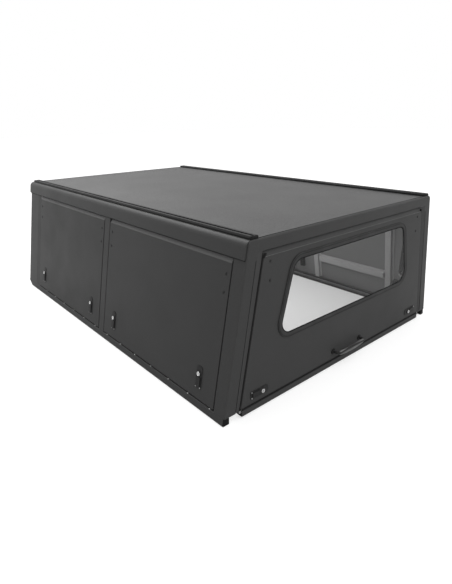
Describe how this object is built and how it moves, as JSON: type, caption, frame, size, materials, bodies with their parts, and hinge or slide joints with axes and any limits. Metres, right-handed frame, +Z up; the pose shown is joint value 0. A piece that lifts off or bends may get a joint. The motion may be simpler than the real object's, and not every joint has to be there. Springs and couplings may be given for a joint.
{
  "type": "truck canopy",
  "caption": "Truck bed canopy of painted sheet metal with lift-up side doors, a lift-up rear window door on gas struts, and roof tracks",
  "frame": {"origin": "middle of the floor rectangle under the canopy, on the plane of the sills' undersides", "axes": "+X to the vehicle's right, +Y forward toward the cab, +Z up"},
  "size_m": [1.6118, 2.3004, 0.7484],
  "materials": {
    "panel_paint": "satin powder coat, dark grey",
    "roof_paint": "embossed sheet, satin powder coat, dark grey",
    "frame_paint": "satin powder coat, dark grey",
    "track_metal": "dark anodised extrusion",
    "black_plastic": "moulded, matt black",
    "seal_rubber": "matt black rubber",
    "window_glass": "grey tinted safety glass",
    "tube_paint": "gloss black",
    "rod_steel": "hard chromed rod",
    "bracket_steel": "zinc plated steel",
    "inner_metal": "mill finish folded sheet",
    "latch_black": "textured black"
  },
  "bodies": {
    "frame": {"roof_panel": "roof_paint", "roof_beams": "frame_paint", "roof_bows": "inner_metal", "roof_tracks": "track_metal", "roof_track_caps": "black_plastic", "rear_header": "frame_paint", "front_header": "frame_paint", "rear_posts": "frame_paint", "centre_posts": "frame_paint", "front_posts": "frame_paint", "sills": "frame_paint", "sill_plugs": "black_plastic", "front_sill": "frame_paint", "front_panel": "panel_paint", "front_window_seal": "seal_rubber", "front_window_glass": "window_glass", "side_strut_brackets": "bracket_steel", "rear_strut_brackets": "bracket_steel"},
    "rear_door": {"rear_door_panel": "panel_paint", "rear_door_inner": "inner_metal", "rear_door_rail": "panel_paint", "rear_door_handle": "latch_black", "rear_door_latches": "latch_black", "rear_window_seal": "seal_rubber", "rear_window_glass": "window_glass"},
    "rear_tubes": {"rear_strut_tubes": "tube_paint"},
    "rear_rods": {"rear_strut_rods": "rod_steel"},
    "right_rear_door": {"right_rear_door_panel": "panel_paint", "right_rear_door_inner": "inner_metal", "right_rear_door_latches": "latch_black"},
    "right_rear_tubes": {"right_rear_strut_tubes": "tube_paint"},
    "right_rear_rods": {"right_rear_strut_rods": "rod_steel"},
    "right_front_door": {"right_front_door_panel": "panel_paint", "right_front_door_inner": "inner_metal", "right_front_door_latches": "latch_black"},
    "right_front_tubes": {"right_front_strut_tubes": "tube_paint"},
    "right_front_rods": {"right_front_strut_rods": "rod_steel"},
    "left_rear_door": {"left_rear_door_panel": "panel_paint", "left_rear_door_inner": "inner_metal", "left_rear_door_latches": "latch_black"},
    "left_rear_tubes": {"left_rear_strut_tubes": "tube_paint"},
    "left_rear_rods": {"left_rear_strut_rods": "rod_steel"},
    "left_front_door": {"left_front_door_panel": "panel_paint", "left_front_door_inner": "inner_metal", "left_front_door_latches": "latch_black"},
    "left_front_tubes": {"left_front_strut_tubes": "tube_paint"},
    "left_front_rods": {"left_front_strut_rods": "rod_steel"}
  },
  "joints": [
    {"name": "right_rear_door_hinge", "type": "hinge", "parent": "frame", "child": "right_rear_door", "pos_m": [0.67912, -0.55425, 0.66785], "axis": [0, -1, 0], "range_deg": [0, 90]},
    {"name": "right_rear_tube_swing", "type": "hinge", "parent": "frame", "child": "right_rear_tubes", "pos_m": [0.73935, -0.55425, 0.14447], "axis": [0, 1, 0], "range_deg": [0, 15.79]},
    {"name": "right_rear_rod_slide", "type": "slide", "parent": "right_rear_tubes", "child": "right_rear_rods", "axis": [-0.1777, 0, 0.9841], "range_m": [0, 0.09096]},
    {"name": "right_front_door_hinge", "type": "hinge", "parent": "frame", "child": "right_front_door", "pos_m": [0.67912, 0.46975, 0.66785], "axis": [0, -1, 0], "range_deg": [0, 90]},
    {"name": "right_front_tube_swing", "type": "hinge", "parent": "frame", "child": "right_front_tubes", "pos_m": [0.73935, 0.46975, 0.14447], "axis": [0, 1, 0], "range_deg": [0, 15.79]},
    {"name": "right_front_rod_slide", "type": "slide", "parent": "right_front_tubes", "child": "right_front_rods", "axis": [-0.1777, 0, 0.9841], "range_m": [0, 0.09096]},
    {"name": "left_rear_door_hinge", "type": "hinge", "parent": "frame", "child": "left_rear_door", "pos_m": [-0.67912, -0.55425, 0.66785], "axis": [0, 1, 0], "range_deg": [0, 90]},
    {"name": "left_rear_tube_swing", "type": "hinge", "parent": "frame", "child": "left_rear_tubes", "pos_m": [-0.73935, -0.55425, 0.14447], "axis": [0, -1, 0], "range_deg": [0, 15.79]},
    {"name": "left_rear_rod_slide", "type": "slide", "parent": "left_rear_tubes", "child": "left_rear_rods", "axis": [0.1777, 0, 0.9841], "range_m": [0, 0.09096]},
    {"name": "left_front_door_hinge", "type": "hinge", "parent": "frame", "child": "left_front_door", "pos_m": [-0.67912, 0.46975, 0.66785], "axis": [0, 1, 0], "range_deg": [0, 90]},
    {"name": "left_front_tube_swing", "type": "hinge", "parent": "frame", "child": "left_front_tubes", "pos_m": [-0.73935, 0.46975, 0.14447], "axis": [0, -1, 0], "range_deg": [0, 15.79]},
    {"name": "left_front_rod_slide", "type": "slide", "parent": "left_front_tubes", "child": "left_front_rods", "axis": [0.1777, 0, 0.9841], "range_m": [0, 0.09096]},
    {"name": "rear_door_hinge", "type": "hinge", "parent": "frame", "child": "rear_door", "pos_m": [0, -1.10475, 0.6894], "axis": [-1, 0, 0], "range_deg": [0, 90]},
    {"name": "rear_tube_swing", "type": "hinge", "parent": "frame", "child": "rear_tubes", "pos_m": [0, -1.06475, 0.3094], "axis": [1, 0, 0], "range_deg": [0, 20.37]},
    {"name": "rear_rod_slide", "type": "slide", "parent": "rear_tubes", "child": "rear_rods", "axis": [0, -0.0175, 0.9998], "range_m": [0, 0.08543]}
  ],
  "couplings": [
    {"joint": "right_rear_tube_swing", "follows": "right_rear_door_hinge", "ratio": 0.17548},
    {"joint": "right_rear_rod_slide", "follows": "right_rear_door_hinge", "m_per_rad": 0.057908},
    {"joint": "right_front_tube_swing", "follows": "right_front_door_hinge", "ratio": 0.17548},
    {"joint": "right_front_rod_slide", "follows": "right_front_door_hinge", "m_per_rad": 0.057908},
    {"joint": "left_rear_tube_swing", "follows": "left_rear_door_hinge", "ratio": 0.17548},
    {"joint": "left_rear_rod_slide", "follows": "left_rear_door_hinge", "m_per_rad": 0.057908},
    {"joint": "left_front_tube_swing", "follows": "left_front_door_hinge", "ratio": 0.17548},
    {"joint": "left_front_rod_slide", "follows": "left_front_door_hinge", "m_per_rad": 0.057908},
    {"joint": "rear_tube_swing", "follows": "rear_door_hinge", "ratio": 0.22628},
    {"joint": "rear_rod_slide", "follows": "rear_door_hinge", "m_per_rad": 0.054386}
  ]
}
